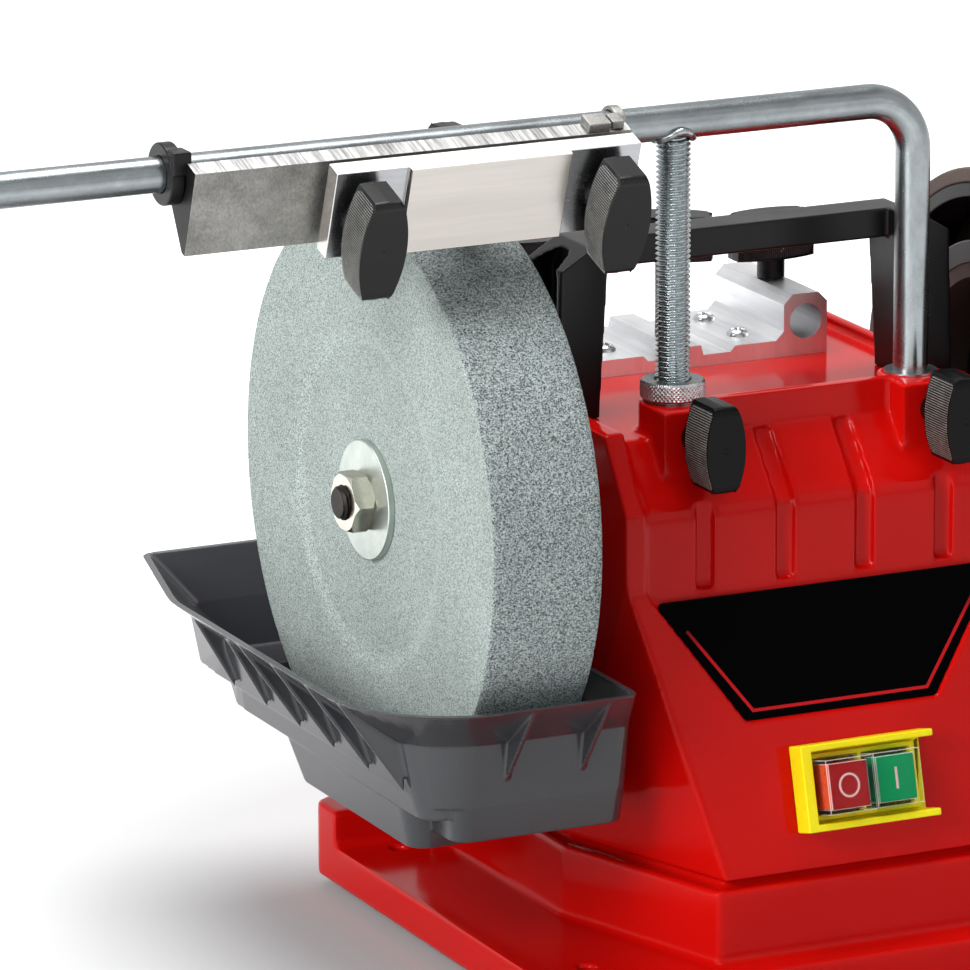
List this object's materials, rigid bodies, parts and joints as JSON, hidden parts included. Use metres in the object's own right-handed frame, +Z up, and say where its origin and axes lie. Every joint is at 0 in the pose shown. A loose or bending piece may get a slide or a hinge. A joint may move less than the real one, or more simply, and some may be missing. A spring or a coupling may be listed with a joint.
{
  "type": "wet stone grinder",
  "caption": "Bench wet grinder: a slow stone in a water tray, a leather honing wheel, and an adjustable rod that carries a clamping sharpening jig.",
  "frame": {"origin": "on the bench, under the middle of the base", "axes": "+X along the spindle towards the honing wheel, +Y to the back, +Z up"},
  "size_m": [0.439, 0.243, 0.3074],
  "materials": {
    "red_plastic": "bright red gloss",
    "black_plastic": "satin black",
    "black_label": "gloss black",
    "yellow_plastic": "yellow gloss",
    "button_red": "dark red gloss",
    "button_green": "green gloss",
    "clear_cap": "clear",
    "zinc_steel": "zinc plated",
    "bright_steel": "turned",
    "aluminium": "milled",
    "anodised": "light anodised",
    "stone": "grey-green abrasive",
    "grey_plastic": "dark grey gloss",
    "leather": "tan leather",
    "rubber": "matt black",
    "laminations": "stacked sheet"
  },
  "bodies": {
    "machine": {"housing": "red_plastic", "base": "red_plastic", "feet": "rubber", "base_screws": "zinc_steel", "label_panel": "black_label", "switch_bezel": "yellow_plastic", "switch_block": "black_plastic", "handle": "black_plastic", "handle_screws": "zinc_steel", "support_mount": "anodised", "mount_screws": "zinc_steel", "sleeve_bush_left": "bright_steel", "sleeve_bush_right": "bright_steel", "bearing_left": "bright_steel", "bearing_right": "bright_steel", "motor_bracket": "bright_steel", "motor_stator": "laminations", "motor_end_caps": "aluminium", "capacitor": "aluminium", "cable_gland": "black_plastic"},
    "spindle_set": {"spindle": "bright_steel", "stone": "stone", "stone_flange": "bright_steel", "stone_washer": "zinc_steel", "stone_nut": "zinc_steel", "stone_spacer": "bright_steel", "wheel_spacer": "bright_steel", "honing_wheel": "black_plastic", "leather_strap": "leather", "drive_ring": "rubber", "wheel_washer": "zinc_steel", "wheel_nut": "zinc_steel"},
    "motor_shaft": {"motor_rotor": "bright_steel", "motor_fan": "grey_plastic"},
    "height_nut_body": {"height_nut": "zinc_steel"},
    "support": {"support_rod": "zinc_steel", "threaded_leg": "zinc_steel"},
    "jig_carriage": {"jig_bush_left": "black_plastic", "jig_bush_right": "black_plastic"},
    "jig": {"jig_profile": "aluminium", "jig_studs": "zinc_steel", "jig_stops": "aluminium"},
    "clamp": {"clamp_bar": "aluminium"},
    "jig_knob_left_body": {"jig_knob_left": "black_plastic"},
    "jig_knob_right_body": {"jig_knob_right": "black_plastic"},
    "jig_lock_knob_body": {"jig_lock_knob": "black_plastic"},
    "front_knob_left_body": {"front_knob_left": "black_plastic"},
    "front_knob_right_body": {"front_knob_right": "black_plastic"},
    "mount_knob_left_body": {"mount_knob_left": "black_plastic"},
    "mount_knob_right_body": {"mount_knob_right": "black_plastic"},
    "centre_knob_body": {"centre_knob": "black_plastic"},
    "off_button": {"button_red": "button_red", "cap_red": "clear_cap"},
    "on_button": {"button_green": "button_green", "cap_green": "clear_cap"},
    "tray": {"water_tray": "grey_plastic"}
  },
  "joints": [
    {"name": "spindle_turn", "type": "hinge", "parent": "machine", "child": "spindle_set", "pos_m": [0, 0, 0.168], "axis": [1, 0, 0], "continuous": true},
    {"name": "motor_turn", "type": "hinge", "parent": "machine", "child": "motor_shaft", "pos_m": [0, 0, 0.12105], "axis": [1, 0, 0], "continuous": true},
    {"name": "height_nut_turn", "type": "hinge", "parent": "machine", "child": "height_nut_body", "pos_m": [-0.0455, -0.04, 0.2055], "axis": [0, 0, -1], "range_deg": [-1030, 10290]},
    {"name": "support_lift", "type": "slide", "parent": "machine", "child": "support", "axis": [0, 0, 1], "range_m": [-0.005, 0.05]},
    {"name": "jig_slide", "type": "slide", "parent": "support", "child": "jig_carriage", "axis": [1, 0, 0], "range_m": [-0.06, 0.01]},
    {"name": "jig_tilt", "type": "hinge", "parent": "jig_carriage", "child": "jig", "pos_m": [-0.15, -0.04, 0.297], "axis": [1, 0, 0], "range_deg": [-75, 12]},
    {"name": "clamp_open", "type": "slide", "parent": "jig", "child": "clamp", "axis": [0, -0.9454, -0.3259], "range_m": [-0.004, 0.005]},
    {"name": "jig_knob_left_turn", "type": "hinge", "parent": "clamp", "child": "jig_knob_left_body", "pos_m": [-0.171, -0.07098, 0.27628], "axis": [0, -0.9454, -0.3259], "range_deg": [-1442, 1802]},
    {"name": "jig_knob_right_turn", "type": "hinge", "parent": "clamp", "child": "jig_knob_right_body", "pos_m": [-0.083, -0.07098, 0.27628], "axis": [0, -0.9454, -0.3259], "range_deg": [-1442, 1802]},
    {"name": "jig_lock_turn", "type": "hinge", "parent": "jig", "child": "jig_lock_knob_body", "pos_m": [-0.12, -0.025, 0.2865], "axis": [0, 1, 0], "range_deg": [-180, 180]},
    {"name": "front_knob_left_turn", "type": "hinge", "parent": "machine", "child": "front_knob_left_body", "pos_m": [-0.0455, -0.07, 0.1925], "axis": [0, -1, 0], "range_deg": [-180, 180]},
    {"name": "front_knob_right_turn", "type": "hinge", "parent": "machine", "child": "front_knob_right_body", "pos_m": [0.0455, -0.07, 0.1925], "axis": [0, -1, 0], "range_deg": [-180, 180]},
    {"name": "mount_knob_left_turn", "type": "hinge", "parent": "machine", "child": "mount_knob_left_body", "pos_m": [-0.0455, 0.0635, 0.225], "axis": [0, 0, 1], "range_deg": [-180, 180]},
    {"name": "mount_knob_right_turn", "type": "hinge", "parent": "machine", "child": "mount_knob_right_body", "pos_m": [0.0455, 0.0635, 0.225], "axis": [0, 0, 1], "range_deg": [-180, 180]},
    {"name": "centre_knob_turn", "type": "hinge", "parent": "machine", "child": "centre_knob_body", "pos_m": [0, 0.053, 0.23], "axis": [0, 0, 1], "range_deg": [-180, 180]},
    {"name": "off_button_press", "type": "slide", "parent": "machine", "child": "off_button", "axis": [0, 0.9664, -0.2571], "range_m": [0, 0.003], "stiffness_N_per_m": 700, "springref_m": -0.0005},
    {"name": "on_button_press", "type": "slide", "parent": "machine", "child": "on_button", "axis": [0, 0.9664, -0.2571], "range_m": [0, 0.003], "stiffness_N_per_m": 700, "springref_m": -0.0005},
    {"name": "tray_drop", "type": "slide", "parent": "machine", "child": "tray", "axis": [0, 0, -1], "range_m": [0, 0.03]}
  ],
  "couplings": [
    {"joint": "motor_turn", "follows": "spindle_turn", "ratio": 11.5},
    {"joint": "height_nut_turn", "follows": "support_lift", "rad_per_m": 3590.4},
    {"joint": "jig_knob_left_turn", "follows": "clamp_open", "rad_per_m": 6283.2},
    {"joint": "jig_knob_right_turn", "follows": "clamp_open", "rad_per_m": 6283.2}
  ]
}
